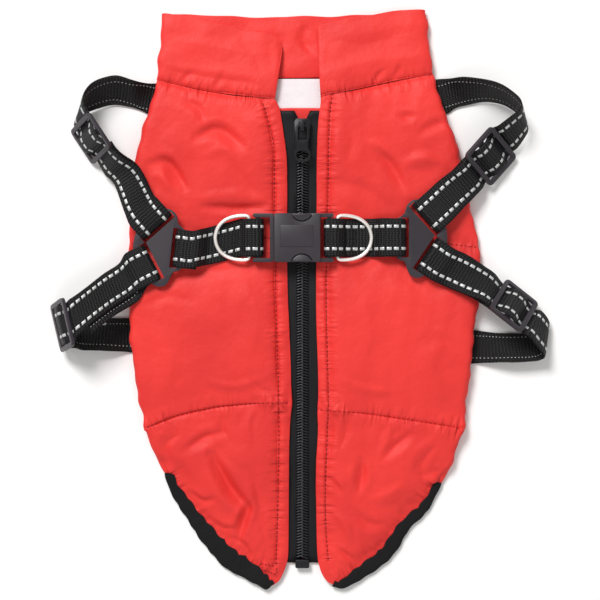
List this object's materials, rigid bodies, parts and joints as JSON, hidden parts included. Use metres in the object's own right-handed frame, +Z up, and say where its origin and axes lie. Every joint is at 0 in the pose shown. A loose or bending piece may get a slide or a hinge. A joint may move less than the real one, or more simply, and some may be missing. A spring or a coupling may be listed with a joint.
{
  "type": "dog coat",
  "caption": "Padded dog coat with standing collar, long zip and a buckled webbing harness with steel D-rings, laid flat.",
  "frame": {"origin": "middle of the coat's footprint, on the table it lies on", "axes": "+Y from hem to collar, +Z up from the table, +X to the right with the collar away from the viewer"},
  "size_m": [0.3285, 0.3805, 0.0306],
  "materials": {
    "shell": "red woven polyester over wadding",
    "lining": "white brushed lining",
    "binding": "black woven binding and zip tape",
    "webbing": "black woven webbing with reflective dashes",
    "plastic": "moulded, fine grain",
    "zip": "black lacquered slider, moulded coil",
    "nickel": "polished nickel plate"
  },
  "bodies": {
    "root": {"back_left": "shell", "back_right": "shell", "belly_panel": "shell", "collar": "shell", "zip_underlap": "shell", "lining_patch": "lining", "hem_binding_left": "binding", "hem_binding_right": "binding", "hem_binding_belly": "binding", "leg_binding_left": "binding", "leg_binding_right": "binding", "zip_tape_left": "binding", "zip_tape_right": "binding", "zip_chain": "zip", "zip_slider": "zip", "zip_box": "zip", "chest_strap_left": "webbing", "chest_strap_right": "webbing", "belly_strap_left": "webbing", "belly_strap_right": "webbing", "harness_band_left": "webbing", "harness_band_right": "webbing", "connector_left": "plastic", "connector_right": "plastic", "chest_glide_left": "plastic", "chest_glide_right": "plastic", "belly_glide_left": "plastic", "belly_glide_right": "plastic", "buckle_male": "plastic", "buckle_female": "plastic"},
    "pull": {"zip_pull": "zip"},
    "ring_left": {"d_ring_left": "nickel"},
    "ring_right": {"d_ring_right": "nickel"}
  },
  "joints": [
    {"name": "pull_hinge", "type": "hinge", "parent": "root", "child": "pull", "pos_m": [0.0015, 0.1136, 0.0134], "axis": [-1, 0, 0], "range_deg": [0, 150]},
    {"name": "ring_left_hinge", "type": "hinge", "parent": "root", "child": "ring_left", "pos_m": [-0.0329, 0.0406, 0.0129], "axis": [0, 1, 0], "range_deg": [0, 100]},
    {"name": "ring_right_hinge", "type": "hinge", "parent": "root", "child": "ring_right", "pos_m": [0.0242, 0.0406, 0.0129], "axis": [0, -1, 0], "range_deg": [0, 100]}
  ]
}
